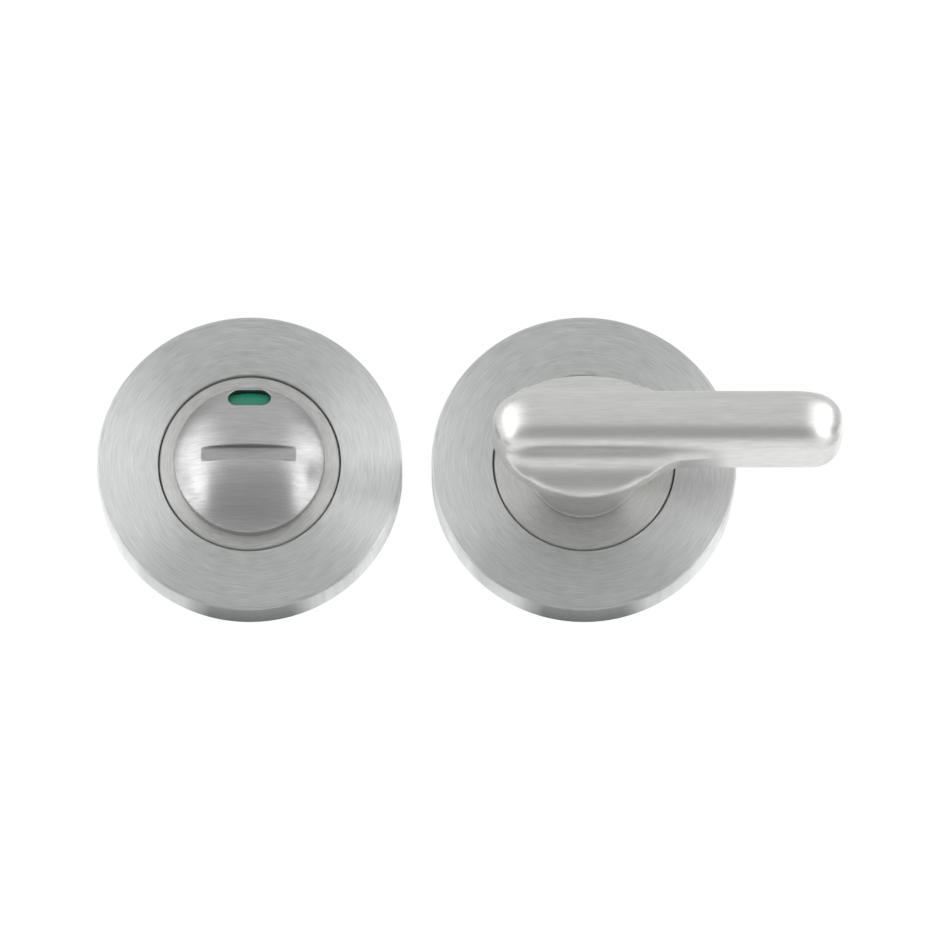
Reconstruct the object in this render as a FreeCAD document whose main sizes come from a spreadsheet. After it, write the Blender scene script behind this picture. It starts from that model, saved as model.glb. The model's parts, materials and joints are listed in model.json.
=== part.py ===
"""Bathroom thumb turn lock: an inside half with a lever turn and an outside half with a coin release.

Each half is modelled about its own axis: X to the right, Y up the door and Z out of the door face.
The halves are then placed side by side with their backs in one plane and their faces towards -Y.
"""

import FreeCAD
import Part

import math
import os
import re

import Sketcher

# Driving sizes in millimetres
SIZES = [
    ("rose_diameter", 52.0, "outside of each round cover"),
    ("rose_height", 8.0, "depth of each cover from the door to its face"),
    ("centre_spacing", 57.0, "distance between the two axes as laid out"),
    ("cover_wall", 1.5, "sheet thickness of a cover"),
    ("cover_face_width", 10.4, "flat ring of a cover's face from its hole to the outside"),
    ("cover_edge_radius", 0.5, "rounding of a cover's front edge"),
    ("plate_thickness", 2.0, "sheet thickness of a base plate"),
    ("boss_gap", 0.25, "dark ring between a boss and the hole round it"),
    ("boss_recess", 0.3, "depth of a boss below the cover's face"),
    ("boss_edge_radius", 0.4, "rounding of a boss's front edge"),
    ("grip_ring_width", 1.75, "radial width of a grip ring"),
    ("grip_lead", 0.5, "lead on a grip ring's front edge"),
    ("grip_clearance", 0.05, "slack each side of a grip ring"),
    ("bolt_diameter", 4.0, "shank of a fixing bolt"),
    ("bolt_clearance", 0.15, "radial slack of a bolt in its hole"),
    ("bolt_neck_relief", 0.2, "plain neck under the head is this much smaller all round"),
    ("bolt_neck_run", 0.5, "plain neck behind the plate"),
    ("bolt_length", 42.0, "shank of a fixing bolt behind its head"),
    ("bolt_head_gap", 0.4, "head of a bolt or sleeve to the boss and to the plate's rim"),
    ("bolt_head_height", 2.4, "head of a fixing bolt"),
    ("bolt_head_slot", 0.9, "width of the driver slot in a bolt head"),
    ("bolt_head_slot_depth", 1.2, "depth of the driver slot in a bolt head"),
    ("bolt_head_rounding", 1.0, "rounding of a bolt head"),
    ("bolt_tip_chamfer", 0.6, "lead at a bolt's tip"),
    ("sleeve_diameter", 5.5, "outside of a threaded sleeve"),
    ("sleeve_length", 14.0, "sleeve behind the plate"),
    ("sleeve_bore_diameter", 3.3, "hole tapped for the fixing bolt"),
    ("sleeve_fit", 0.05, "radial slack of a sleeve in its plate"),
    ("sleeve_head_height", 0.7, "flat head of a sleeve on the plate"),
    ("shank_diameter", 11.0, "shank of the turn and of the release stem"),
    ("shank_tail", 6.0, "shank behind the door face"),
    ("shank_tail_chamfer", 0.5, "lead at the end of a shank"),
    ("running_clearance", 0.08, "radial slack of a shank in its bush"),
    ("axial_play", 0.2, "gap between a turning piece and the boss"),
    ("bush_wall", 1.5, "wall of a bearing bush"),
    ("bush_fit", 0.03, "radial slack of a bush in its plate"),
    ("bush_setback", 0.1, "bush end below the face of the boss"),
    ("bush_flange_width", 2.5, "flange beyond the bush wall"),
    ("bush_flange_thickness", 1.2, "flange of a bush"),
    ("washer_thickness", 0.8, "thrust washer"),
    ("washer_slack", 0.2, "radial slack of a washer round the shank"),
    ("spring_thickness", 0.5, "sheet of the dished spring washer"),
    ("spring_dish", 0.5, "height of the dish"),
    ("spring_setback", 0.6, "spring rim inside the washer's rim"),
    ("stack_play", 0.05, "axial slack of the turning stack"),
    ("circlip_thickness", 0.9, "retaining ring"),
    ("circlip_width", 2.3, "radial width of a retaining ring"),
    ("circlip_groove_depth", 0.45, "groove in the shank"),
    ("circlip_slack", 0.05, "slack of a ring in its groove"),
    ("circlip_half_opening", 2.4, "half the opening of a ring"),
    ("circlip_eye_radius", 0.55, "plier hole in each end of a ring"),
    ("spindle_width", 5.0, "across the flats of the spindle"),
    ("spindle_length", 70.0, "whole spindle"),
    ("spindle_clearance", 0.05, "slack at each flat of a square socket"),
    ("spindle_chamfer", 0.6, "lead at both ends of the spindle"),
    ("turn_socket_depth", 18.0, "square socket in the turn's shank"),
    ("release_socket_depth", 15.0, "square socket in the release stem"),
    ("pin_diameter", 2.0, "cross pin through shank and spindle"),
    ("pin_setback", 3.0, "pin axis from the end of the shank"),
    ("pin_clearance", 0.02, "radial slack of the pin"),
    ("pin_recess", 0.3, "pin's ends inside the shank's surface"),
    ("neck_diameter", 19.1, "round neck under the lever"),
    ("neck_collar_width", 0.35, "lip round the foot of the neck"),
    ("neck_collar_height", 0.4, "lip round the foot of the neck"),
    ("lever_standoff", 13.5, "lever's back above the cover's face"),
    ("lever_depth", 15.6, "lever from back to front"),
    ("lever_width", 10.0, "width of the finger bar"),
    ("lever_tail", 15.7, "bar from the axis to its short end"),
    ("lever_reach", 43.1, "bar from the axis to its long end"),
    ("lever_end_radius", 10.0, "curve of the bar's front down to each end"),
    ("lever_end_run", 8.66, "length of that curve along the bar"),
    ("lever_shoulder_radius", 3.9, "rounding of the bar's front edges"),
    ("lever_back_radius", 0.6, "rounding of the bar's back edges"),
    ("hub_half_width", 10.8, "hub from the axis to its lower edge"),
    ("hub_side_radius", 18.6, "arc of each hub side in plan"),
    ("hub_tip_radius", 8.0, "rounding of the hub's tail in plan"),
    ("hub_blend_radius", 10.0, "hub into the bar's side in plan"),
    ("hub_blend_sink", 0.15, "blend in plan runs this far into the bar"),
    ("hub_rim_height", 2.2, "upright rim of the hub"),
    ("hub_crown_radius", 6.7, "rounded slope from the bar to the rim"),
    ("hub_crown_offset", 5.0, "centre of that slope from the middle of the bar"),
    ("hub_hollow_radius", 2.0, "hollow between the slope and the bar"),
    ("hub_hollow_sink", 0.04, "hollow runs this far into the bar"),
    ("hub_rim_rounding", 0.4, "rounding of the hub's front edge"),
    ("hub_margin", 0.6, "section beyond the plan before it is trimmed"),
    ("dome_diameter", 25.7, "release dome"),
    ("dome_height", 7.0, "top of the dome above the cover's face"),
    ("dome_edge_height", 1.7, "upright edge of the dome above the cover's face"),
    ("dome_wall", 0.7, "thickness of the dome"),
    ("dome_core_diameter", 13.0, "solid middle of the dome"),
    ("dome_core_gap", 0.5, "middle of the dome above the boss"),
    ("slot_width", 2.4, "coin slot"),
    ("slot_depth", 1.85, "coin slot below the top of the dome"),
    ("window_length", 7.24, "indicator window"),
    ("window_height", 3.4, "indicator window"),
    ("window_offset", 10.55, "window's centre from the axis"),
    ("spigot_diameter", 9.0, "stem's end in the dome"),
    ("spigot_length", 3.4, "stem's end in the dome"),
    ("spigot_fit", 0.02, "radial and end slack of the spigot"),
    ("cap_gap", 0.25, "cap inside the dome's edge"),
    ("cap_core_gap", 0.4, "cap round the dome's middle"),
    ("cap_edge_height", 1.65, "upright rim of the cap"),
    ("cap_top_height", 4.2, "flat top of the cap above the boss"),
    ("cap_top_width", 1.4, "flat top of the cap"),
    ("peg_diameter", 1.6, "locating peg of the cap"),
    ("peg_length", 1.5, "locating peg of the cap"),
    ("peg_fit", 0.04, "radial slack of a peg"),
]
ALIASES = {alias for alias, size, note in SIZES}

# Radii and heights that more than one piece shares, worked out from the sizes
ROSE_RADIUS = "(rose_diameter / 2)"
SKIRT_BORE = f"({ROSE_RADIUS} - cover_wall)"
COVER_HOLE = f"({ROSE_RADIUS} - cover_face_width)"
FACE_BACK = "(rose_height - cover_wall)"
BOSS_RADIUS = f"({COVER_HOLE} - boss_gap)"
BOSS_TOP = "(rose_height - boss_recess)"
BOSS_CEILING = f"({BOSS_TOP} - plate_thickness)"
GRIP_OUTSIDE = f"({SKIRT_BORE} - grip_clearance)"
GRIP_INSIDE = f"({GRIP_OUTSIDE} - grip_ring_width)"
PLATE_RADIUS = f"({GRIP_INSIDE} - grip_clearance)"
BOLT_RADIUS = "(bolt_diameter / 2)"
BOLT_HOLE = f"({BOLT_RADIUS} + bolt_clearance)"
BOLT_OFFSET = f"(({PLATE_RADIUS} + {BOSS_RADIUS}) / 2)"
LEFT_BOLT = f"(0 - {BOLT_OFFSET})"
HEAD_RADIUS = f"(({PLATE_RADIUS} - {BOSS_RADIUS}) / 2 - bolt_head_gap)"
SLEEVE_RADIUS = "(sleeve_diameter / 2)"
SLEEVE_HOLE = f"({SLEEVE_RADIUS} + sleeve_fit)"
SHANK_RADIUS = "(shank_diameter / 2)"
BUSH_BORE = f"({SHANK_RADIUS} + running_clearance)"
BUSH_RADIUS = f"({BUSH_BORE} + bush_wall)"
PLATE_BORE = f"({BUSH_RADIUS} + bush_fit)"
FLANGE_RADIUS = f"({BUSH_RADIUS} + bush_flange_width)"
FLANGE_BACK = f"({BOSS_CEILING} - bush_flange_thickness)"
WASHER_BORE = f"({SHANK_RADIUS} + washer_slack)"
WASHER_BACK = f"({FLANGE_BACK} - washer_thickness)"
SPRING_TOP = f"({WASHER_BACK} - stack_play)"
SPRING_BACK = f"({SPRING_TOP} - spring_thickness - spring_dish)"
SPRING_RIM = f"({FLANGE_RADIUS} - spring_setback)"
GROOVE_RADIUS = f"({SHANK_RADIUS} - circlip_groove_depth)"
CIRCLIP_BORE = f"({GROOVE_RADIUS} + circlip_slack)"
CIRCLIP_RIM = f"({CIRCLIP_BORE} + circlip_width)"
CIRCLIP_BACK = f"({SPRING_BACK} - circlip_thickness)"
GROOVE_TOP = f"({SPRING_BACK} + circlip_slack)"
GROOVE_BACK = f"({CIRCLIP_BACK} - circlip_slack)"
SHANK_END = "(0 - shank_tail)"
TURN_FOOT = f"({BOSS_TOP} + axial_play)"
SOCKET_WIDTH = "(spindle_width + 2 * spindle_clearance)"
PIN_HEIGHT = "(pin_setback - shank_tail)"
PIN_RADIUS = "(pin_diameter / 2)"
LEVER_BACK = "(rose_height + lever_standoff)"
LEVER_FRONT = f"({LEVER_BACK} + lever_depth)"
HALF_LEVER = "(lever_width / 2)"
DOME_RADIUS = "(dome_diameter / 2)"
DOME_TOP = "(rose_height + dome_height)"
DOME_EDGE = "(rose_height + dome_edge_height)"
DOME_RISE = "(dome_height - dome_edge_height)"
DOME_BALL = f"(({DOME_RADIUS} ^ 2 + {DOME_RISE} ^ 2) / (2 * {DOME_RISE}))"
DOME_HOLLOW = f"({DOME_BALL} - dome_wall)"
BALL_CENTRE = f"({DOME_TOP} - {DOME_BALL})"
DOME_BORE = f"({DOME_RADIUS} - dome_wall)"
CORE_RADIUS = "(dome_core_diameter / 2)"
CORE_FOOT = f"({BOSS_TOP} + dome_core_gap)"
SPIGOT_RADIUS = "(spigot_diameter / 2)"
CAP_RADIUS = f"({DOME_BORE} - cap_gap)"
CAP_BORE = f"({CORE_RADIUS} + cap_core_gap)"
PEG_RADIUS = "(peg_diameter / 2)"
PEG_OFFSET = f"(({CAP_BORE} + {CAP_RADIUS}) / 2)"

doc = FreeCAD.newDocument("thumb_turn_lock")
sheet = doc.addObject("Spreadsheet::Sheet", "Sizes")
for row, (alias, size, note) in enumerate(SIZES, start=1):
    sheet.set(f"A{row}", str(size))
    sheet.setAlias(f"A{row}", alias)
    sheet.set(f"B{row}", note)
doc.recompute()

exported = []


def number(expression):
    """Value of an expression of sheet sizes, in millimetres."""
    return float(sheet.evalExpression(expression))


def bound(expression):
    """The same expression with each size named as a cell of the sheet."""
    return re.sub(r"[a-z_]+", lambda word: f"Sizes.{word[0]}" if word[0] in ALIASES else word[0], expression)


def plane_of(body, role):
    """Origin plane of a body."""
    return next(feature for feature in body.Origin.OriginFeatures if feature.Role == role)


def add_body(name):
    """New empty body."""
    body = doc.addObject("PartDesign::Body", name)
    body.Label = name
    return body


def add_sketch(body, role, offset="0"):
    """Empty sketch on an origin plane of a body, lifted off it along its normal."""
    sketch = body.newObject("Sketcher::SketchObject", "Outline")
    sketch.AttachmentSupport = [(plane_of(body, role), "")]
    sketch.MapMode = "FlatFace"
    sketch.setExpression("AttachmentOffset.Base.z", bound(offset))
    return sketch


def constrain(sketch, kind, expression, *places):
    """Dimension in a sketch that follows an expression of sheet sizes."""
    index = sketch.addConstraint(Sketcher.Constraint(kind, *places, number(expression)))
    sketch.setExpression(f"Constraints[{index}]", bound(expression))


def fix_point(sketch, geometry, end, across, along):
    """Hold one point of a sketch at two expressions."""
    for kind, axis, expression in (("DistanceX", -2, across), ("DistanceY", -1, along)):
        if expression == "0":
            sketch.addConstraint(Sketcher.Constraint("PointOnObject", geometry, end, axis))
        else:
            constrain(sketch, kind, expression, -1, 1, geometry, end)


def arc_between(start, end, radius, bend):
    """Arc of less than half a turn from start to end that bends left or right."""
    first, last = (start, end) if bend == "left" else (end, start)
    chord = last - first
    middle = (first + last) * 0.5
    inward = FreeCAD.Vector(-chord.y, chord.x, 0).normalize()
    centre = middle + inward * math.sqrt(max(radius ** 2 - (chord.Length / 2) ** 2, 0.0))
    angles = [math.atan2(point.y - centre.y, point.x - centre.x) for point in (first, last)]
    return Part.ArcOfCircle(Part.Circle(centre, FreeCAD.Vector(0, 0, 1), radius), *angles)


def draw_outline(sketch, corners):
    """Closed outline of lines and arcs.

    A corner is (across, along), or (across, along, radius, bend) where an arc runs on to the next corner.
    """
    points = [FreeCAD.Vector(number(corner[0]), number(corner[1]), 0) for corner in corners]
    ends = []
    for index, corner in enumerate(corners):
        start = points[index]
        finish = points[(index + 1) % len(points)]
        if len(corner) == 2:
            geometry = sketch.addGeometry(Part.LineSegment(start, finish), False)
            ends.append((geometry, 1, 2))
            continue
        radius, bend = corner[2:]
        geometry = sketch.addGeometry(arc_between(start, finish, number(radius), bend), False)
        ends.append((geometry, 1, 2) if bend == "left" else (geometry, 2, 1))
    for edge, following in zip(ends, ends[1:] + ends[:1]):
        sketch.addConstraint(Sketcher.Constraint("Coincident", edge[0], edge[2], following[0], following[1]))
    for edge, corner in zip(ends, corners):
        geometry = edge[0]
        fix_point(sketch, geometry, edge[1], corner[0], corner[1])
        if len(corner) > 2:
            constrain(sketch, "Radius", corner[2], geometry)


def draw_circle(sketch, across, along, radius):
    """Circle held at its centre and radius."""
    centre = FreeCAD.Vector(number(across), number(along), 0)
    circle = Part.Circle(centre, FreeCAD.Vector(0, 0, 1), number(radius))
    geometry = sketch.addGeometry(circle, False)
    fix_point(sketch, geometry, 3, across, along)
    constrain(sketch, "Radius", radius, geometry)


def draw_rectangle(sketch, left, right, bottom, top):
    """Rectangle between four expressions."""
    draw_outline(sketch, [(left, bottom), (right, bottom), (right, top), (left, top)])


def turn_profile(body, corners, axis="0"):
    """Revolution of a (radius, height) outline about the body's axis, or about one beside it."""
    sketch = add_sketch(body, "XZ_Plane")
    sketch.setExpression("AttachmentOffset.Base.x", bound(axis))
    draw_outline(sketch, corners)
    feature = body.newObject("PartDesign::Revolution", "Revolution")
    feature.Profile = sketch
    feature.ReferenceAxis = (sketch, ["V_Axis"])
    feature.Angle = 360
    doc.recompute()
    return feature


def pad_outline(body, corners, start, length):
    """Pad of an outline from one height up by a length."""
    sketch = add_sketch(body, "XY_Plane", start)
    draw_outline(sketch, corners)
    feature = body.newObject("PartDesign::Pad", "Pad")
    feature.Profile = sketch
    feature.setExpression("Length", bound(length))
    doc.recompute()
    return feature


def cut_sketch(body, sketch, length, upward=False):
    """Pocket of a sketch down from it by a length, or up from it."""
    feature = body.newObject("PartDesign::Pocket", "Pocket")
    feature.Profile = sketch
    feature.Reversed = upward
    feature.setExpression("Length", bound(length))
    before = feature.BaseFeature.Shape.Volume if feature.BaseFeature else None
    doc.recompute()
    if before is not None and feature.Shape.Volume >= before:
        raise RuntimeError(f"a cut in {body.Label} removed nothing")
    return feature


def cut_bolt_holes(body, radius):
    """Two holes for the fixing bolts or their sleeves through the flange of a base plate."""
    sketch = add_sketch(body, "XY_Plane")
    for side in ("-1", "1"):
        draw_circle(sketch, f"{side} * {BOLT_OFFSET}", "0", radius)
    cut_sketch(body, sketch, "plate_thickness", upward=True)


def cut_square_socket(body, depth):
    """Square socket for the spindle, up from the end of a shank."""
    sketch = add_sketch(body, "XY_Plane", SHANK_END)
    half = f"({SOCKET_WIDTH} / 2)"
    draw_rectangle(sketch, f"0 - {half}", half, f"0 - {half}", half)
    cut_sketch(body, sketch, depth, upward=True)


def round_edges(body, feature, radius, wanted):
    """Fillet of the edges of a feature that pass a test."""
    names = [f"Edge{index}" for index, edge in enumerate(feature.Shape.Edges, start=1) if wanted(edge)]
    fillet = body.newObject("PartDesign::Fillet", "Fillet")
    fillet.Base = (feature, names)
    fillet.setExpression("Radius", bound(radius))
    doc.recompute()
    return fillet


def lies_at_height(edge, height):
    """True for an edge that lies flat at a height."""
    box = edge.BoundBox
    return abs(box.ZMin - height) < 1e-4 and abs(box.ZMax - height) < 1e-4


def is_hub_rim(shape, edge):
    """True for an edge between the rounded slope of the hub and its upright side."""
    radii = []
    for face in shape.ancestorsOfType(edge, Part.Face):
        if isinstance(face.Surface, Part.Cylinder):
            radii.append(round(face.Surface.Radius, 4))
    slope = round(number("hub_crown_radius"), 4)
    side = round(number("hub_side_radius"), 4)
    return sorted(radii) == sorted([slope, side])


def set_on_axis(piece, half):
    """Stand a piece on the axis of its half, its local Z out of the door."""
    piece.Placement = FreeCAD.Placement(FreeCAD.Vector(0, 0, 0), FreeCAD.Rotation(FreeCAD.Vector(1, 0, 0), 90))
    if half == "release":
        piece.setExpression("Placement.Base.x", bound("0 - centre_spacing"))
    exported.append(piece)


def make_rose_cover(half):
    """Pressed round cover with a plain centre hole and a softened front edge."""
    body = add_body(f"{half}_rose_cover")
    shoulder = f"({ROSE_RADIUS} - cover_edge_radius)"
    turn_profile(body, [
        (SKIRT_BORE, "0"),
        (ROSE_RADIUS, "0"),
        (ROSE_RADIUS, "rose_height - cover_edge_radius", "cover_edge_radius", "left"),
        (shoulder, "rose_height"),
        (COVER_HOLE, "rose_height"),
        (COVER_HOLE, FACE_BACK),
        (SKIRT_BORE, FACE_BACK),
    ])
    set_on_axis(body, half)


def make_base_plate(half):
    """Pressed plate: a flat flange on the door and a raised boss that fills the cover's hole."""
    body = add_body(f"{half}_base_plate")
    boss_bore = f"({BOSS_RADIUS} - plate_thickness)"
    turn_profile(body, [
        (boss_bore, "0"),
        (PLATE_RADIUS, "0"),
        (PLATE_RADIUS, "plate_thickness"),
        (BOSS_RADIUS, "plate_thickness"),
        (BOSS_RADIUS, f"{BOSS_TOP} - boss_edge_radius", "boss_edge_radius", "left"),
        (f"{BOSS_RADIUS} - boss_edge_radius", BOSS_TOP),
        (PLATE_BORE, BOSS_TOP),
        (PLATE_BORE, BOSS_CEILING),
        (boss_bore, BOSS_CEILING),
    ])
    cut_bolt_holes(body, SLEEVE_HOLE if half == "release" else BOLT_HOLE)
    if half == "release":
        pegs = add_sketch(body, "XY_Plane", BOSS_TOP)
        for side in ("-1", "1"):
            draw_circle(pegs, f"{side} * {PEG_OFFSET}", "0", f"{PEG_RADIUS} + peg_fit")
        cut_sketch(body, pegs, "plate_thickness")
    set_on_axis(body, half)


def make_grip_ring(half):
    """Ring on the edge of the base plate that the cover is pressed over."""
    body = add_body(f"{half}_grip_ring")
    turn_profile(body, [
        (GRIP_INSIDE, "0"),
        (GRIP_OUTSIDE, "0"),
        (GRIP_OUTSIDE, "plate_thickness - grip_lead"),
        (f"{GRIP_OUTSIDE} - grip_lead", "plate_thickness"),
        (GRIP_INSIDE, "plate_thickness"),
    ])
    set_on_axis(body, half)


def make_bush(half):
    """Flanged bearing bush, pushed into the plate from behind."""
    body = add_body(f"{half}_bush")
    turn_profile(body, [
        (BUSH_BORE, FLANGE_BACK),
        (FLANGE_RADIUS, FLANGE_BACK),
        (FLANGE_RADIUS, BOSS_CEILING),
        (BUSH_RADIUS, BOSS_CEILING),
        (BUSH_RADIUS, f"{BOSS_TOP} - bush_setback"),
        (BUSH_BORE, f"{BOSS_TOP} - bush_setback"),
    ])
    set_on_axis(body, half)


def make_washer(half):
    """Flat thrust washer against the flange of the bush."""
    body = add_body(f"{half}_washer")
    turn_profile(body, [
        (WASHER_BORE, WASHER_BACK),
        (FLANGE_RADIUS, WASHER_BACK),
        (FLANGE_RADIUS, FLANGE_BACK),
        (WASHER_BORE, FLANGE_BACK),
    ])
    set_on_axis(body, half)


def make_disc_spring(half):
    """Dished spring washer between the thrust washer and the retaining ring."""
    body = add_body(f"{half}_disc_spring")
    turn_profile(body, [
        (WASHER_BORE, SPRING_BACK),
        (SPRING_RIM, f"{SPRING_BACK} + spring_dish"),
        (SPRING_RIM, SPRING_TOP),
        (WASHER_BORE, f"{SPRING_BACK} + spring_thickness"),
    ])
    set_on_axis(body, half)


def make_circlip(half):
    """Open retaining ring in the groove of the shank, with a plier hole in each end."""
    body = add_body(f"{half}_circlip")
    outer_x = f"sqrt({CIRCLIP_RIM} ^ 2 - circlip_half_opening ^ 2)"
    inner_x = f"sqrt({CIRCLIP_BORE} ^ 2 - circlip_half_opening ^ 2)"
    pad_outline(body, [
        (outer_x, "circlip_half_opening", CIRCLIP_RIM, "left"),
        (f"0 - {CIRCLIP_RIM}", "0", CIRCLIP_RIM, "left"),
        (outer_x, "0 - circlip_half_opening"),
        (inner_x, "0 - circlip_half_opening", CIRCLIP_BORE, "right"),
        (f"0 - {CIRCLIP_BORE}", "0", CIRCLIP_BORE, "right"),
        (inner_x, "circlip_half_opening"),
    ], CIRCLIP_BACK, "circlip_thickness")
    eyes = add_sketch(body, "XY_Plane", CIRCLIP_BACK)
    eye_y = "(circlip_half_opening + 2 * circlip_eye_radius)"
    eye_x = f"sqrt((({CIRCLIP_RIM} + {CIRCLIP_BORE}) / 2) ^ 2 - {eye_y} ^ 2)"
    for side in ("-1", "1"):
        draw_circle(eyes, eye_x, f"{side} * {eye_y}", "circlip_eye_radius")
    cut_sketch(body, eyes, "circlip_thickness", upward=True)
    set_on_axis(body, half)


def shank_outline():
    """(radius, height) corners of a shank from the axis at its end up to its grooved top."""
    return [
        ("0", SHANK_END),
        (f"{SHANK_RADIUS} - shank_tail_chamfer", SHANK_END),
        (SHANK_RADIUS, f"{SHANK_END} + shank_tail_chamfer"),
        (SHANK_RADIUS, GROOVE_BACK),
        (GROOVE_RADIUS, GROOVE_BACK),
        (GROOVE_RADIUS, GROOVE_TOP),
        (SHANK_RADIUS, GROOVE_TOP),
    ]


def hub_plan():
    """Plan of the hub: two flat side arcs, a rounded tail and hollow runs into the sides of the bar."""
    side_centre = "(hub_side_radius - hub_half_width)"
    tip_x = f"sqrt((hub_side_radius - hub_tip_radius) ^ 2 - {side_centre} ^ 2)"
    tip_share = "(hub_side_radius / (hub_side_radius - hub_tip_radius))"
    blend_y = f"({HALF_LEVER} - hub_blend_sink + hub_blend_radius)"
    blend_x = f"sqrt((hub_side_radius + hub_blend_radius) ^ 2 - ({side_centre} + {blend_y}) ^ 2)"
    blend_share = "(hub_side_radius / (hub_side_radius + hub_blend_radius))"
    tail = (f"0 - {tip_share} * {tip_x}", f"({tip_share} - 1) * {side_centre}")
    hip = (f"{blend_share} * {blend_x}", f"({blend_share} * ({side_centre} + {blend_y}) - {side_centre})")
    waist = (blend_x, f"({HALF_LEVER} - hub_blend_sink)")
    return [
        (tail[0], f"0 - {tail[1]}", "hub_side_radius", "left"),
        (hip[0], f"0 - {hip[1]}", "hub_blend_radius", "right"),
        (waist[0], f"0 - {waist[1]}"),
        (waist[0], waist[1], "hub_blend_radius", "right"),
        (hip[0], hip[1], "hub_side_radius", "left"),
        (tail[0], tail[1], "hub_tip_radius", "left"),
    ]


def hub_section():
    """Section of the hub across the bar: upright rim, rounded slope and a hollow up to the bar."""
    outside = "(hub_half_width + hub_margin)"
    rim_reach = "(hub_half_width - hub_crown_offset)"
    crown_centre = f"({LEVER_BACK} + hub_rim_height - sqrt(hub_crown_radius ^ 2 - {rim_reach} ^ 2))"
    rim = f"({crown_centre} + sqrt(hub_crown_radius ^ 2 - ({outside} - hub_crown_offset) ^ 2))"
    inside = f"({HALF_LEVER} - hub_hollow_sink)"
    hollow_reach = f"({inside} + hub_hollow_radius - hub_crown_offset)"
    hollow_rise = f"sqrt((hub_crown_radius + hub_hollow_radius) ^ 2 - {hollow_reach} ^ 2)"
    foot_share = "(hub_crown_radius / (hub_crown_radius + hub_hollow_radius))"
    foot_y = f"(hub_crown_offset + {foot_share} * {hollow_reach})"
    foot = f"({crown_centre} + {foot_share} * {hollow_rise})"
    crest = f"({crown_centre} + {hollow_rise})"
    return [
        (f"0 - {outside}", LEVER_BACK),
        (outside, LEVER_BACK),
        (outside, rim, "hub_crown_radius", "left"),
        (foot_y, foot, "hub_hollow_radius", "right"),
        (inside, crest),
        (f"0 - {inside}", crest, "hub_hollow_radius", "right"),
        (f"0 - {foot_y}", foot, "hub_crown_radius", "left"),
        (f"0 - {outside}", rim),
    ]


def bar_elevation():
    """Side view of the bar: a flat front that curves down to both ends."""
    left = "(0 - lever_tail - hub_margin)"
    right = "(lever_reach + hub_margin)"
    low = f"({LEVER_BACK} - hub_margin)"
    end_reach = "(lever_end_run + hub_margin)"
    end = f"({LEVER_FRONT} - lever_end_radius + sqrt(lever_end_radius ^ 2 - {end_reach} ^ 2))"
    return [
        (left, low),
        (right, low),
        (right, end, "lever_end_radius", "left"),
        ("lever_reach - lever_end_run", LEVER_FRONT),
        ("lever_end_run - lever_tail", LEVER_FRONT, "lever_end_radius", "left"),
        (left, end),
    ]


def is_bar_shoulder(shape, edge):
    """True for an edge between an upright side of the bar and its front."""
    upright = 0
    for face in shape.ancestorsOfType(edge, Part.Face):
        along = abs(face.Surface.Axis.z) > 0.5
        upright += along == isinstance(face.Surface, Part.Cylinder)
    return upright == 1 and edge.BoundBox.ZMin > number(f"{LEVER_BACK} + lever_back_radius")


def make_finger_bar():
    """Rounded bar of the lever, joined to the hub later."""
    body = add_body("finger_bar")
    inner_left = f"({HALF_LEVER} - lever_tail)"
    inner_right = f"(lever_reach - {HALF_LEVER})"
    pad_outline(body, [
        (inner_left, f"0 - {HALF_LEVER}"),
        (inner_right, f"0 - {HALF_LEVER}", HALF_LEVER, "left"),
        ("lever_reach", "0", HALF_LEVER, "left"),
        (inner_right, HALF_LEVER),
        (inner_left, HALF_LEVER, HALF_LEVER, "left"),
        ("0 - lever_tail", "0", HALF_LEVER, "left"),
    ], LEVER_BACK, "lever_depth + hub_margin")
    front = add_sketch(body, "XZ_Plane", "0 - lever_width")
    draw_outline(front, bar_elevation())
    far = "(3 * (lever_tail + lever_reach))"
    draw_rectangle(front, f"0 - {far}", far, f"0 - {far}", far)
    bar = cut_sketch(body, front, "2 * lever_width", upward=True)
    back = number(LEVER_BACK)
    shoulders = round_edges(body, bar, "lever_shoulder_radius", lambda edge: is_bar_shoulder(bar.Shape, edge))
    round_edges(body, shoulders, "lever_back_radius", lambda edge: lies_at_height(edge, back))
    return body


def make_thumb_turn():
    """Cast turn: finger bar, hub, neck and shank in one piece."""
    finger_bar = make_finger_bar()
    body = add_body("thumb_turn")
    section = add_sketch(body, "YZ_Plane", "0 - lever_tail - hub_margin")
    draw_outline(section, hub_section())
    hub = body.newObject("PartDesign::Pad", "Hub")
    hub.Profile = section
    hub.setExpression("Length", bound("2 * (lever_tail + hub_side_radius)"))
    doc.recompute()

    trim = add_sketch(body, "XY_Plane", f"{LEVER_BACK} - hub_margin")
    draw_outline(trim, hub_plan())
    far = "(3 * (lever_tail + hub_side_radius))"
    draw_rectangle(trim, f"0 - {far}", far, f"0 - {far}", far)
    hub = cut_sketch(body, trim, "lever_depth + 2 * hub_margin", upward=True)
    round_edges(body, hub, "hub_rim_rounding", lambda edge: is_hub_rim(hub.Shape, edge))

    join = body.newObject("PartDesign::Boolean", "Join")
    join.Type = "Fuse"
    join.setObjects([finger_bar])
    doc.recompute()

    collar = "(neck_diameter / 2 + neck_collar_width)"
    turn_profile(body, shank_outline() + [
        (SHANK_RADIUS, TURN_FOOT),
        (collar, TURN_FOOT),
        (collar, f"{TURN_FOOT} + neck_collar_height"),
        ("neck_diameter / 2", f"{TURN_FOOT} + neck_collar_height + neck_collar_width"),
        ("neck_diameter / 2", f"{LEVER_BACK} + hub_rim_height"),
        ("0", f"{LEVER_BACK} + hub_rim_height"),
    ])
    cut_square_socket(body, "turn_socket_depth")
    pin_hole = add_sketch(body, "XZ_Plane", "0 - shank_diameter")
    draw_circle(pin_hole, "0", PIN_HEIGHT, f"{PIN_RADIUS} + pin_clearance")
    cut_sketch(body, pin_hole, "2 * shank_diameter", upward=True)
    set_on_axis(body, "turn")


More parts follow.
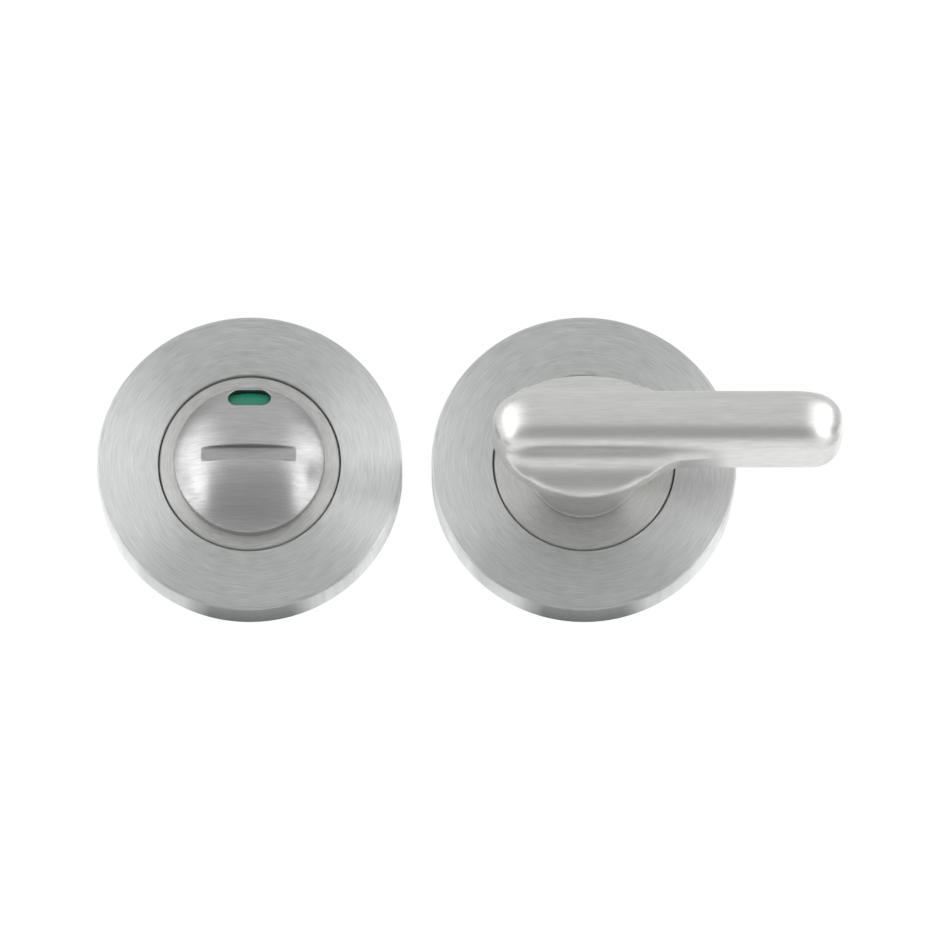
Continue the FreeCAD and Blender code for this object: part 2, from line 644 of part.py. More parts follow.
def make_spindle():
    """Square bar from the bottom of the turn's socket out through the door, drilled for its pin."""
    body = add_body("spindle")
    half = "(spindle_width / 2)"
    top = f"({SHANK_END} + turn_socket_depth - spindle_clearance)"
    pad_outline(body, [
        (f"0 - {half}", f"0 - {half}"),
        (half, f"0 - {half}"),
        (half, half),
        (f"0 - {half}", half),
    ], f"{top} - spindle_length", "spindle_length")
    bar = body.Tip
    ends = [number(f"{top} - spindle_length"), number(top)]
    names = [
        f"Edge{index}"
        for index, edge in enumerate(bar.Shape.Edges, start=1)
        if any(lies_at_height(edge, height) for height in ends)
    ]
    chamfer = body.newObject("PartDesign::Chamfer", "Chamfer")
    chamfer.Base = (bar, names)
    chamfer.setExpression("Size", bound("spindle_chamfer"))
    doc.recompute()
    hole = add_sketch(body, "XZ_Plane", "0 - spindle_width")
    draw_circle(hole, "0", PIN_HEIGHT, f"{PIN_RADIUS} + pin_clearance")
    cut_sketch(body, hole, "2 * spindle_width", upward=True)
    set_on_axis(body, "turn")


def make_spindle_pin():
    """Cross pin through the shank and the spindle, its ends inside the shank's surface."""
    body = add_body("spindle_pin")
    sketch = add_sketch(body, "XZ_Plane", "pin_recess - shank_diameter / 2")
    draw_circle(sketch, "0", PIN_HEIGHT, PIN_RADIUS)
    pin = body.newObject("PartDesign::Pad", "Pin")
    pin.Profile = sketch
    pin.setExpression("Length", bound("shank_diameter - 2 * pin_recess"))
    doc.recompute()
    set_on_axis(body, "turn")


def mirror_across_axis(body, originals):
    """Second copy of a body's features on the other side of the axis."""
    mirror = body.newObject("PartDesign::Mirrored", "Mirrored")
    mirror.Originals = originals
    mirror.MirrorPlane = (plane_of(body, "YZ_Plane"), [""])
    body.Tip = mirror
    doc.recompute()


def make_fixing_bolts():
    """Two round-headed bolts through the plate of the turn, slotted for a driver."""
    body = add_body("fixing_bolts")
    neck = f"({BOLT_RADIUS} - bolt_neck_relief)"
    head_top = "(plate_thickness + bolt_head_height)"
    tip = "(plate_thickness - bolt_length)"
    bolt = turn_profile(body, [
        ("0", tip),
        (f"{BOLT_RADIUS} - bolt_tip_chamfer", tip),
        (BOLT_RADIUS, f"{tip} + bolt_tip_chamfer"),
        (BOLT_RADIUS, "0 - bolt_neck_run"),
        (neck, "0 - bolt_neck_run"),
        (neck, "plate_thickness"),
        (HEAD_RADIUS, "plate_thickness"),
        (HEAD_RADIUS, f"{head_top} - bolt_head_rounding", "bolt_head_rounding", "left"),
        (f"{HEAD_RADIUS} - bolt_head_rounding", head_top),
        ("0", head_top),
    ], LEFT_BOLT)
    slot = add_sketch(body, "XY_Plane", head_top)
    half = "(bolt_head_slot / 2)"
    draw_rectangle(
        slot,
        f"{LEFT_BOLT} - 2 * {HEAD_RADIUS}",
        f"{LEFT_BOLT} + 2 * {HEAD_RADIUS}",
        f"0 - {half}",
        half,
    )
    driver_slot = cut_sketch(body, slot, "bolt_head_slot_depth")
    mirror_across_axis(body, [bolt, driver_slot])
    set_on_axis(body, "turn")


def make_bolt_sleeves():
    """Two headed sleeves through the plate of the release, tapped for the fixing bolts."""
    body = add_body("bolt_sleeves")
    bore = "(sleeve_bore_diameter / 2)"
    head_top = "(plate_thickness + sleeve_head_height)"
    sleeve = turn_profile(body, [
        (bore, "0 - sleeve_length"),
        (SLEEVE_RADIUS, "0 - sleeve_length"),
        (SLEEVE_RADIUS, "plate_thickness"),
        (HEAD_RADIUS, "plate_thickness"),
        (HEAD_RADIUS, head_top),
        (bore, head_top),
    ], LEFT_BOLT)
    mirror_across_axis(body, [sleeve])
    set_on_axis(body, "release")


def make_release_dome():
    """Domed button, hollow round a solid middle, with a coin slot and a window for the indicator."""
    body = add_body("release_dome")
    bore = f"({SPIGOT_RADIUS} + spigot_fit)"
    bore_top = f"({CORE_FOOT} + spigot_length + spigot_fit)"
    turn_profile(body, [
        ("0", bore_top),
        (bore, bore_top),
        (bore, CORE_FOOT),
        (CORE_RADIUS, CORE_FOOT),
        (CORE_RADIUS, f"{BALL_CENTRE} + sqrt({DOME_HOLLOW} ^ 2 - {CORE_RADIUS} ^ 2)", DOME_HOLLOW, "right"),
        (DOME_BORE, f"{BALL_CENTRE} + sqrt({DOME_HOLLOW} ^ 2 - {DOME_BORE} ^ 2)"),
        (DOME_BORE, TURN_FOOT),
        (DOME_RADIUS, TURN_FOOT),
        (DOME_RADIUS, DOME_EDGE, DOME_BALL, "left"),
        ("0", DOME_TOP),
    ])
    slot = add_sketch(body, "XY_Plane", DOME_TOP)
    half = "(slot_width / 2)"
    draw_rectangle(slot, f"0 - {DOME_RADIUS}", DOME_RADIUS, f"0 - {half}", half)
    cut_sketch(body, slot, "slot_depth")

    window = add_sketch(body, "XY_Plane", DOME_TOP)
    end_radius = "(window_height / 2)"
    straight = f"(window_length / 2 - {end_radius})"
    low = f"(window_offset - {end_radius})"
    high = f"(window_offset + {end_radius})"
    draw_outline(window, [
        (f"0 - {straight}", low),
        (straight, low, end_radius, "left"),
        ("window_length / 2", "window_offset", end_radius, "left"),
        (straight, high),
        (f"0 - {straight}", high, end_radius, "left"),
        ("0 - window_length / 2", "window_offset", end_radius, "left"),
    ])
    cut_sketch(body, window, f"{DOME_TOP} - {TURN_FOOT} - dome_wall")
    set_on_axis(body, "release")


def make_release_stem():
    """Shank of the release: a spigot pressed into the dome and a square socket for the spindle."""
    body = add_body("release_stem")
    spigot_top = f"({CORE_FOOT} + spigot_length)"
    turn_profile(body, shank_outline() + [
        (SHANK_RADIUS, CORE_FOOT),
        (SPIGOT_RADIUS, CORE_FOOT),
        (SPIGOT_RADIUS, spigot_top),
        ("0", spigot_top),
    ])
    cut_square_socket(body, "release_socket_depth")
    set_on_axis(body, "release")


def make_indicator_cap():
    """Fixed ring under the dome, its slope shows red or green in the window; two pegs hold it."""
    body = add_body("indicator_cap")
    rim = f"({BOSS_TOP} + cap_edge_height)"
    top = f"({BOSS_TOP} + cap_top_height)"
    turn_profile(body, [
        (CAP_BORE, BOSS_TOP),
        (CAP_RADIUS, BOSS_TOP),
        (CAP_RADIUS, rim),
        (f"{CAP_BORE} + cap_top_width", top),
        (CAP_BORE, top),
    ])
    pegs = add_sketch(body, "XY_Plane", f"{BOSS_TOP} - peg_length")
    for side in ("-1", "1"):
        draw_circle(pegs, f"{side} * {PEG_OFFSET}", "0", PEG_RADIUS)
    pad = body.newObject("PartDesign::Pad", "Pegs")
    pad.Profile = pegs
    pad.setExpression("Length", bound("peg_length + cap_edge_height"))
    doc.recompute()
    set_on_axis(body, "release")


def build():
    """Make every piece of both halves."""
    for half in ("turn", "release"):
        make_rose_cover(half)
        make_base_plate(half)
        make_grip_ring(half)
        make_bush(half)
        make_washer(half)
        make_disc_spring(half)
        make_circlip(half)
    make_thumb_turn()
    make_spindle()
    make_spindle_pin()
    make_fixing_bolts()
    make_release_dome()
    make_release_stem()
    make_indicator_cap()
    make_bolt_sleeves()


def check_and_export():
    """Stop on any failed object, then write one file for each piece."""
    doc.recompute()
    for item in doc.Objects:
        if {"Invalid", "Error"} & set(item.State):
            raise RuntimeError(f"{item.Label} failed: {item.State}")
    for piece in exported:
        if piece.Shape.isNull() or not piece.Shape.isValid():
            raise RuntimeError(f"{piece.Label} has no valid shape")
    os.makedirs("parts", exist_ok=True)
    for piece in exported:
        piece.Shape.exportStep(f"parts/{piece.Label}.step")


build()
check_and_export()
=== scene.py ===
"""Bathroom thumb turn lock: an outside half with a coin release beside an inside half with a lever turn.

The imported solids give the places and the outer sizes. The classes below make the surfaces that are seen,
with their edges and threads, and dress each piece in the finish of the real one.
"""

import json
import logging
import math
from collections.abc import Sequence
from dataclasses import dataclass, field
from enum import Enum

import bmesh
import bpy
from mathutils import Matrix, Vector


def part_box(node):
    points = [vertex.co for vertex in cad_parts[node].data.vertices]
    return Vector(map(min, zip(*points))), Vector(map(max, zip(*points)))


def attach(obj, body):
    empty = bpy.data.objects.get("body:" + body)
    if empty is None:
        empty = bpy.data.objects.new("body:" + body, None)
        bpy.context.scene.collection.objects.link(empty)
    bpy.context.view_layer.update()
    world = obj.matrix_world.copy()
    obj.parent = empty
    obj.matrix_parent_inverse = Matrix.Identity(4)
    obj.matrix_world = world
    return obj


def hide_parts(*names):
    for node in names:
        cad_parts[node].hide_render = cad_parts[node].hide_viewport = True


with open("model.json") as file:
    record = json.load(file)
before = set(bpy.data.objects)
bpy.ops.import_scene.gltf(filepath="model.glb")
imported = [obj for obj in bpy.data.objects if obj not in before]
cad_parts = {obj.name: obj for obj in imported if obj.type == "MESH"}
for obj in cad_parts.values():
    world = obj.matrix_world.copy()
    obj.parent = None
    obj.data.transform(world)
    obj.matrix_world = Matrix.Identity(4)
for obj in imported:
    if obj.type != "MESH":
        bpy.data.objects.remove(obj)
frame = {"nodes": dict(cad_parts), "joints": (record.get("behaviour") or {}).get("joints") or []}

log = logging.getLogger("thumb_turn_lock")

MM = 0.001
MICRON = 0.000001

# A corner of a turned section that is nearer to the axis than this is a point on it
ON_AXIS_MM = 1e-9
# Radius at which a streak of circular grain has its stated length
STREAK_RADIUS_MM = 20.0
# Share of the way to the middle of its neighbours that a point moves in one round of smoothing
SMOOTHING = 0.5
# Angles between faces, in degrees: up to the first they are one face, above the second the edge is sharp
FLAT_ANGLE = 1.0
SHARP_ANGLE = 30.0
NEVER_SHARP = 180.0
# Sockets of the mix node, which has its own for each type of data
MIX_SHARE = 0
MIX_FIRST_VALUE = 2
MIX_SECOND_VALUE = 3
MIX_FIRST_COLOUR = 6
MIX_SECOND_COLOUR = 7
MIXED_VALUE = 0
MIXED_COLOUR = 2


class Grain(Enum):
    """Which way the lines of a satin surface run: the axis of the shader's tangent, and its turn."""

    ROUND = ("Y", 0.25)
    ACROSS = ("X", 0.0)

    @property
    def axis(self) -> str:
        """Axis that the shader's tangent runs round."""
        return self.value[0]

    @property
    def turn(self) -> float:
        """Share of a full turn from that tangent to the way in which reflections stretch."""
        return self.value[1]


class Fade(Enum):
    """Which way the brightness of a panel changes."""

    ACROSS = "across"
    UPWARD = "upward"


def linear(hex_colour: str) -> tuple[float, float, float, float]:
    """Turn an sRGB hex colour into linear light.

    Args:
        hex_colour: Six hex digits after a hash.

    Returns:
        Red, green, blue and an alpha of one.
    """
    values = [int(hex_colour[place:place + 2], 16) / 255 for place in (1, 3, 5)]
    light = [value / 12.92 if value <= 0.04045 else ((value + 0.055) / 1.055) ** 2.4 for value in values]
    return (*light, 1.0)


def add_node(
    tree: bpy.types.NodeTree,
    kind: str,
    inputs: dict[str | int, object] | None = None,
    **settings: object,
) -> bpy.types.Node:
    """Add one node with its settings, its values and its links.

    Args:
        tree: Tree that gets the node.
        kind: Blender's name of the node's type.
        inputs: Value or output socket for each input, by name or place.
        settings: Properties of the node itself.

    Returns:
        The new node.
    """
    node = tree.nodes.new(kind)
    for name, value in settings.items():
        setattr(node, name, value)
    for name, value in (inputs or {}).items():
        socket = node.inputs[name]
        if isinstance(value, bpy.types.NodeSocket):
            tree.links.new(value, socket)
        else:
            socket.default_value = value
    return node


def new_material(name: str) -> bpy.types.Material:
    """Make a material with an empty node tree.

    Args:
        name: What the surface is made of and how.

    Returns:
        The new material.
    """
    material = bpy.data.materials.new(name)
    material.use_nodes = True
    material.node_tree.nodes.clear()
    return material


@dataclass(frozen=True)
class SatinSteel:
    """Stainless steel brushed with a fine abrasive.

    The brush leaves parallel scratches that stretch every reflection across the grain. The eye gets soft
    bright and dark fans, fine lines along the grain, and no clear mirror image.
    """

    name: str
    bright: str
    dull: str
    grain: Grain
    roughness: float
    anisotropy: float
    # Real scratches are a few hundredths of a millimetre wide; the lines are drawn coarser so as to show
    line_mm: float
    streak_mm: float
    cloud_share: float = 0.35
    # A cloud is this many times as wide and as long as a streak
    cloud_size: float = 7.0
    cloud_detail: float = 2.0
    scratch_detail: float = 3.0
    scratch_roughness: float = 0.65
    # Nearly all of the noise lies between these two values
    noise_low: float = 0.3
    noise_high: float = 0.7
    # Straight grain is this many times as coarse from front to back, so as not to crowd on a slope
    depth_stretch: float = 6.0
    relief_um: float = 0.7
    roughness_swing: float = 0.05

    def grain_vector(self, tree: bpy.types.NodeTree) -> bpy.types.NodeSocket:
        """Coordinates in which one unit is a line's width across the grain and a streak's length along it.

        Args:
            tree: Tree that gets the nodes.

        Returns:
            Socket with the stretched coordinates.
        """
        place = add_node(tree, "ShaderNodeTexCoord").outputs["Object"]
        lines = 1 / (self.line_mm * MM)
        streaks = 1 / (self.streak_mm * MM)
        if self.grain is Grain.ACROSS:
            depth = lines / self.depth_stretch
            stretched = add_node(
                tree, "ShaderNodeVectorMath", {0: place, 1: (streaks, depth, lines)}, operation="MULTIPLY"
            )
            return stretched.outputs[0]
        flat = add_node(tree, "ShaderNodeVectorMath", {0: place, 1: (1, 0, 1)}, operation="MULTIPLY")
        radius = add_node(tree, "ShaderNodeVectorMath", {0: flat.outputs[0]}, operation="LENGTH")
        line = add_node(
            tree, "ShaderNodeMath", {0: radius.outputs["Value"], 1: lines}, operation="MULTIPLY"
        )
        upright = add_node(tree, "ShaderNodeCombineXYZ", {"Y": line.outputs[0]})
        round_axis = add_node(tree, "ShaderNodeVectorMath", {0: flat.outputs[0]}, operation="NORMALIZE")
        turns = streaks * STREAK_RADIUS_MM * MM
        stretched = add_node(
            tree,
            "ShaderNodeVectorMath",
            {0: round_axis.outputs[0], 1: (turns, 0, turns), 2: upright.outputs[0]},
            operation="MULTIPLY_ADD",
        )
        return stretched.outputs[0]

    def material(self) -> bpy.types.Material:
        """Build the finish as a material.

        Returns:
            The new material.
        """
        material = new_material(self.name)
        tree = material.node_tree
        grain = self.grain_vector(tree)
        scratches = add_node(
            tree,
            "ShaderNodeTexNoise",
            {
                "Vector": grain,
                "Scale": 1.0,
                "Detail": self.scratch_detail,
                "Roughness": self.scratch_roughness,
            },
        )
        clouds = add_node(
            tree,
            "ShaderNodeTexNoise",
            {"Vector": grain, "Scale": 1 / self.cloud_size, "Detail": self.cloud_detail},
        )
        wear = add_node(
            tree,
            "ShaderNodeMix",
            {
                MIX_SHARE: self.cloud_share,
                MIX_FIRST_VALUE: scratches.outputs[0],
                MIX_SECOND_VALUE: clouds.outputs[0],
            },
        )
        colour = add_node(
            tree,
            "ShaderNodeMix",
            {
                MIX_SHARE: wear.outputs[MIXED_VALUE],
                MIX_FIRST_COLOUR: linear(self.dull),
                MIX_SECOND_COLOUR: linear(self.bright),
            },
            data_type="RGBA",
        )
        roughness = add_node(
            tree,
            "ShaderNodeMapRange",
            {
                "Value": scratches.outputs[0],
                "From Min": self.noise_low,
                "From Max": self.noise_high,
                "To Min": self.roughness + self.roughness_swing,
                "To Max": self.roughness - self.roughness_swing,
            },
        )
        relief = add_node(
            tree,
            "ShaderNodeBump",
            {"Strength": 1.0, "Distance": self.relief_um * MICRON, "Height": scratches.outputs[0]},
        )
        tangent = add_node(tree, "ShaderNodeTangent", direction_type="RADIAL", axis=self.grain.axis)
        shader = add_node(
            tree,
            "ShaderNodeBsdfPrincipled",
            {
                "Base Color": colour.outputs[MIXED_COLOUR],
                "Metallic": 1.0,
                "Roughness": roughness.outputs[0],
                "Anisotropic": self.anisotropy,
                "Anisotropic Rotation": self.grain.turn,
                "Tangent": tangent.outputs[0],
                "Normal": relief.outputs[0],
            },
        )
        add_node(tree, "ShaderNodeOutputMaterial", {"Surface": shader.outputs[0]})
        return material


@dataclass(frozen=True)
class PlainMetal:
    """Small steel piece as it leaves the plating bath or the furnace.

    The skin is even with faint cloudy patches, and the eye gets a dull, slightly mottled shine.
    """

    name: str
    bright: str
    dull: str
    roughness: float
    patch_mm: float = 2.5
    patch_detail: float = 4.0
    roughness_swing: float = 0.08

    def material(self) -> bpy.types.Material:
        """Build the finish as a material.

        Returns:
            The new material.
        """
        material = new_material(self.name)
        tree = material.node_tree
        place = add_node(tree, "ShaderNodeTexCoord").outputs["Object"]
        patches = add_node(
            tree,
            "ShaderNodeTexNoise",
            {"Vector": place, "Scale": 1 / (self.patch_mm * MM), "Detail": self.patch_detail},
        )
        colour = add_node(
            tree,
            "ShaderNodeMix",
            {
                MIX_SHARE: patches.outputs[0],
                MIX_FIRST_COLOUR: linear(self.dull),
                MIX_SECOND_COLOUR: linear(self.bright),
            },
            data_type="RGBA",
        )
        roughness = add_node(
            tree,
            "ShaderNodeMapRange",
            {
                "Value": patches.outputs[0],
                "To Min": self.roughness + self.roughness_swing,
                "To Max": self.roughness - self.roughness_swing,
            },
        )
        shader = add_node(
            tree,
            "ShaderNodeBsdfPrincipled",
            {
                "Base Color": colour.outputs[MIXED_COLOUR],
                "Metallic": 1.0,
                "Roughness": roughness.outputs[0],
            },
        )
        add_node(tree, "ShaderNodeOutputMaterial", {"Surface": shader.outputs[0]})
        return material


@dataclass(frozen=True)
class Nylon:
    """Natural nylon, injection moulded.

    The eye gets a milky off-white with a faint spark-eroded grain and a soft sheen.
    """

    name: str = "nylon_moulded_natural"
    pale: str = "#E2DFD4"
    shade: str = "#D3CFC2"
    roughness: float = 0.45
    ior: float = 1.53
    grit_mm: float = 0.25
    grit_detail: float = 2.0
    relief_um: float = 4.0

    def material(self) -> bpy.types.Material:
        """Build the finish as a material.

        Returns:
            The new material.
        """
        material = new_material(self.name)
        tree = material.node_tree
        place = add_node(tree, "ShaderNodeTexCoord").outputs["Object"]
        grit = add_node(
            tree,
            "ShaderNodeTexNoise",
            {"Vector": place, "Scale": 1 / (self.grit_mm * MM), "Detail": self.grit_detail},
        )
        colour = add_node(
            tree,
            "ShaderNodeMix",
            {
                MIX_SHARE: grit.outputs[0],
                MIX_FIRST_COLOUR: linear(self.shade),
                MIX_SECOND_COLOUR: linear(self.pale),
            },
            data_type="RGBA",
        )
        relief = add_node(
            tree,
            "ShaderNodeBump",
            {"Strength": 1.0, "Distance": self.relief_um * MICRON, "Height": grit.outputs[0]},
        )
        shader = add_node(
            tree,
            "ShaderNodeBsdfPrincipled",
            {
                "Base Color": colour.outputs[MIXED_COLOUR],
                "Roughness": self.roughness,
                "IOR": self.ior,
                "Normal": relief.outputs[0],
            },
        )
        add_node(tree, "ShaderNodeOutputMaterial", {"Surface": shader.outputs[0]})
        return material


@dataclass(frozen=True)
class IndicatorPlastic:
    """Two-colour ABS, moulded with a fine matt skin.

    The quarters above and below the axis are green and those beside it red, so that the eye gets one flat
    colour at a time in the window.
    """

    axis: Vector
    name: str = "abs_moulded_green_and_red"
    green: str = "#188065"
    red: str = "#C3222B"
    roughness: float = 0.35
    ior: float = 1.54
    grit_mm: float = 0.20
    grit_detail: float = 2.0
    relief_um: float = 3.0

    def material(self) -> bpy.types.Material:
        """Build the finish as a material.

        Returns:
            The new material.
        """
        material = new_material(self.name)
        tree = material.node_tree
        place = add_node(tree, "ShaderNodeTexCoord").outputs["Object"]
        about_axis = add_node(
            tree, "ShaderNodeVectorMath", {0: place, 1: self.axis}, operation="SUBTRACT"
        )
        sides = add_node(tree, "ShaderNodeVectorMath", {0: about_axis.outputs[0]}, operation="ABSOLUTE")
        parts = add_node(tree, "ShaderNodeSeparateXYZ", {0: sides.outputs[0]})
        upright = add_node(
            tree, "ShaderNodeMath", {0: parts.outputs["Z"], 1: parts.outputs["X"]}, operation="GREATER_THAN"
        )
        colour = add_node(
            tree,
            "ShaderNodeMix",
            {
                MIX_SHARE: upright.outputs[0],
                MIX_FIRST_COLOUR: linear(self.red),
                MIX_SECOND_COLOUR: linear(self.green),
            },
            data_type="RGBA",
        )
        grit = add_node(
            tree,
            "ShaderNodeTexNoise",
            {"Vector": place, "Scale": 1 / (self.grit_mm * MM), "Detail": self.grit_detail},
        )
        relief = add_node(
            tree,
            "ShaderNodeBump",
            {"Strength": 1.0, "Distance": self.relief_um * MICRON, "Height": grit.outputs[0]},
        )
        shader = add_node(
            tree,
            "ShaderNodeBsdfPrincipled",
            {
                "Base Color": colour.outputs[MIXED_COLOUR],
                "Roughness": self.roughness,
                "IOR": self.ior,
                "Normal": relief.outputs[0],
            },
        )
        add_node(tree, "ShaderNodeOutputMaterial", {"Surface": shader.outputs[0]})
        return material


@dataclass(frozen=True)
class Corner:
    """Corner of a turned section: its radius, height off the door, rounding and depth of thread, in mm."""

    radius: float
    height: float
    rounding: float = 0.0
    thread: float = 0.0


@dataclass(frozen=True)
class HolePair:
    """Two equal holes, one each side of a half's axis: their distance from it and their radius, in mm."""

    offset: float
    radius: float


def rounded_section(corners: Sequence[Corner], steps: int = 6) -> list[Corner]:
    """Replace each rounded corner of a closed section by a short arc.

    Args:
        corners: Corners in order.
        steps: Straight steps in each arc.

    Returns:
        Corners without roundings.
    """
    section = []
    for index, corner in enumerate(corners):
        if corner.rounding == 0:
            section.append(corner)
            continue
        here = Vector((corner.radius, corner.height))
        before = corners[index - 1]
        after = corners[(index + 1) % len(corners)]
        back = (Vector((before.radius, before.height)) - here).normalized()
        forth = (Vector((after.radius, after.height)) - here).normalized()
        half = back.angle(forth) / 2
        centre = here + (back + forth).normalized() * (corner.rounding / math.sin(half))
        start = here + back * (corner.rounding / math.tan(half)) - centre
        end = here + forth * (corner.rounding / math.tan(half)) - centre
        turn = start.angle_signed(end)
        for step in range(steps + 1):
            angle = -turn * step / steps
            spoke = Vector((
                start.x * math.cos(angle) - start.y * math.sin(angle),
                start.x * math.sin(angle) + start.y * math.cos(angle),
            ))
            point = centre + spoke
            section.append(Corner(point.x, point.y))
    return section


def turned_mesh(
    name: str,
    section: Sequence[Corner],
    segments: int,
    pitch_mm: float = 1.0,
) -> bpy.types.Mesh:
    """Turn a closed section about the axis, which runs out of the door along -Y.

    Args:
        name: Name of the mesh.
        section: Corners in order; one on the axis becomes a single point.
        segments: Steps round the axis.
        pitch_mm: Pitch of a thread, where corners have one.

    Returns:
        The new mesh, in metres about its own origin.
    """
    form = bmesh.new()
    rings = []
    for corner in section:
        if corner.radius < ON_AXIS_MM:
            rings.append([form.verts.new((0, -corner.height * MM, 0))] * segments)
            continue
        ring = []
        for step in range(segments):
            angle = math.tau * step / segments
            phase = (corner.height / pitch_mm + step / segments) % 1.0
            radius = corner.radius - corner.thread * abs(2 * phase - 1)
            ring.append(form.verts.new((
                radius * MM * math.cos(angle), -corner.height * MM, radius * MM * math.sin(angle)
            )))
        rings.append(ring)
    for ring, following in zip(rings, rings[1:] + rings[:1]):
        for step in range(segments):
            onward = (step + 1) % segments
            loop = [ring[step], ring[onward], following[onward], following[step]]
            points = list(dict.fromkeys(loop))
            if len(points) > 2:
                form.faces.new(points)
    bmesh.ops.recalc_face_normals(form, faces=form.faces)
    mesh = bpy.data.meshes.new(name)
    form.to_mesh(mesh)
    form.free()
    return mesh


def paired_mesh(name: str, single: bpy.types.Mesh, offset_mm: float) -> bpy.types.Mesh:
    """Join two copies of a mesh, one each side of the axis.

    Args:
        name: Name of the new mesh.
        single: Mesh about its own origin.
        offset_mm: Distance of each copy from the axis.

    Returns:
        The new mesh.
    """
    form = bmesh.new()
    for side in (-offset_mm, offset_mm):
        copy = single.copy()
        copy.transform(Matrix.Translation((side * MM, 0, 0)))
        form.from_mesh(copy)
    mesh = bpy.data.meshes.new(name)
    form.to_mesh(mesh)
    form.free()
    return mesh


def eased_copy(node: str, width_mm: float, segments: int = 2) -> bpy.types.Object:
    """Copy a solid's form and break its sharp edges.

    Args:
        node: Name of the solid.
        width_mm: Width of a broken edge.
        segments: Steps across a broken edge.

    Returns:
        The new object.
    """
    form = bmesh.new()
    form.from_mesh(frame["nodes"][node].data)
    bmesh.ops.remove_doubles(form, verts=form.verts, dist=MICRON)
    bmesh.ops.dissolve_limit(
        form, angle_limit=math.radians(FLAT_ANGLE), verts=form.verts, edges=form.edges
    )
    mesh = bpy.data.meshes.new(f"{node}_eased")
    form.to_mesh(mesh)
    form.free()
    piece = add_piece(f"{node}_eased", mesh, Vector())
    ease = piece.modifiers.new("ease", "BEVEL")
    ease.width = width_mm * MM
    ease.segments = segments
    ease.limit_method = "ANGLE"
    ease.angle_limit = math.radians(SHARP_ANGLE)
    apply_modifiers(piece)
    return piece


def add_piece(name: str, mesh: bpy.types.Mesh, axis: Vector) -> bpy.types.Object:
    """Put a mesh in the scene with its origin on an axis.

    Args:
        name: Name of the piece.
        mesh: Mesh about its own origin.
        axis: Point of the axis on the door plane.

    Returns:
        The new object.
    """
    piece = bpy.data.objects.new(name, mesh)
    piece.location = axis
    bpy.context.scene.collection.objects.link(piece)
    return piece


def apply_modifiers(piece: bpy.types.Object) -> None:
    """Make what a piece's modifiers show its own mesh.

    Args:
        piece: Object with modifiers.
    """
    bpy.context.view_layer.update()
    shown = piece.evaluated_get(bpy.context.evaluated_depsgraph_get())
    mesh = bpy.data.meshes.new_from_object(shown)
    piece.modifiers.clear()
    piece.data = mesh


def cut_away(piece: bpy.types.Object, cutter: bpy.types.Object) -> None:
    """Cut one form out of a piece and remove the cutter.

    Args:
        piece: Object that is cut.
        cutter: Closed form to take out of it.
    """
    cut = piece.modifiers.new("cut", "BOOLEAN")
    cut.operation = "DIFFERENCE"
    cut.solver = "EXACT"
    cut.object = cutter
    apply_modifiers(piece)
    bpy.data.objects.remove(cutter)


def soften(piece: bpy.types.Object, grid_mm: float, passes: int) -> None:
    """Give a piece an even fine mesh and ease every edge, as casting and polishing do.

    Args:
        piece: Closed form.
        grid_mm: Size of the new faces.
        passes: Rounds of smoothing.
    """
    remesh = piece.modifiers.new("even", "REMESH")
    remesh.mode = "VOXEL"
    remesh.voxel_size = grid_mm * MM
    remesh.adaptivity = 0.0
    ease = piece.modifiers.new("ease", "SMOOTH")
    ease.factor = SMOOTHING
    ease.iterations = passes
    apply_modifiers(piece)


def polish(piece: bpy.types.Object, weights: dict[int, float], passes: int) -> None:
    """Round off a part of a piece, as hand polishing does.

    Args:
        piece: Closed form with an even mesh.
        weights: How strongly each polished point of the mesh is moved, by its index.
        passes: Rounds of smoothing.
    """
    polished = piece.vertex_groups.new(name="polished")
    for index, weight in weights.items():
        polished.add([index], weight, "REPLACE")
    ease = piece.modifiers.new("polish", "SMOOTH")
    ease.vertex_group = polished.name
    ease.factor = SMOOTHING
    ease.iterations = passes
    apply_modifiers(piece)
    piece.vertex_groups.clear()


def dress(
    piece: bpy.types.Object,
    material: bpy.types.Material,
    body: str,
    slot: str,
    *nodes: str,
    crease: float = SHARP_ANGLE,
) -> None:
    """Shade a new piece, give it its finish and let it ride in place of its solids.

    Args:
        piece: New object.
        material: Its finish.
        body: Body that carries it.
        slot: Slot of the record that its finish stands for; not used.
        nodes: Solids that it replaces.
        crease: Angle in degrees above which an edge stays sharp.
    """
    piece.data.materials.clear()
    piece.data.materials.append(material)
    piece.data.shade_smooth()
    piece.data.set_sharp_from_angle(angle=math.radians(crease))
    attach(piece, body)
    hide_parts(*nodes)
    log.info("%s: %d faces, rides on %s", piece.name, len(piece.data.polygons), body)


def dress_solid(node: str, material: bpy.types.Material) -> None:
    """Give a solid that is shown as it is a better finish.

    Args:
        node: Name of the solid.
        material: Its finish.
    """
    for place in frame["nodes"][node].material_slots:
        place.material = material
    log.info("%s: dressed as it is", node)


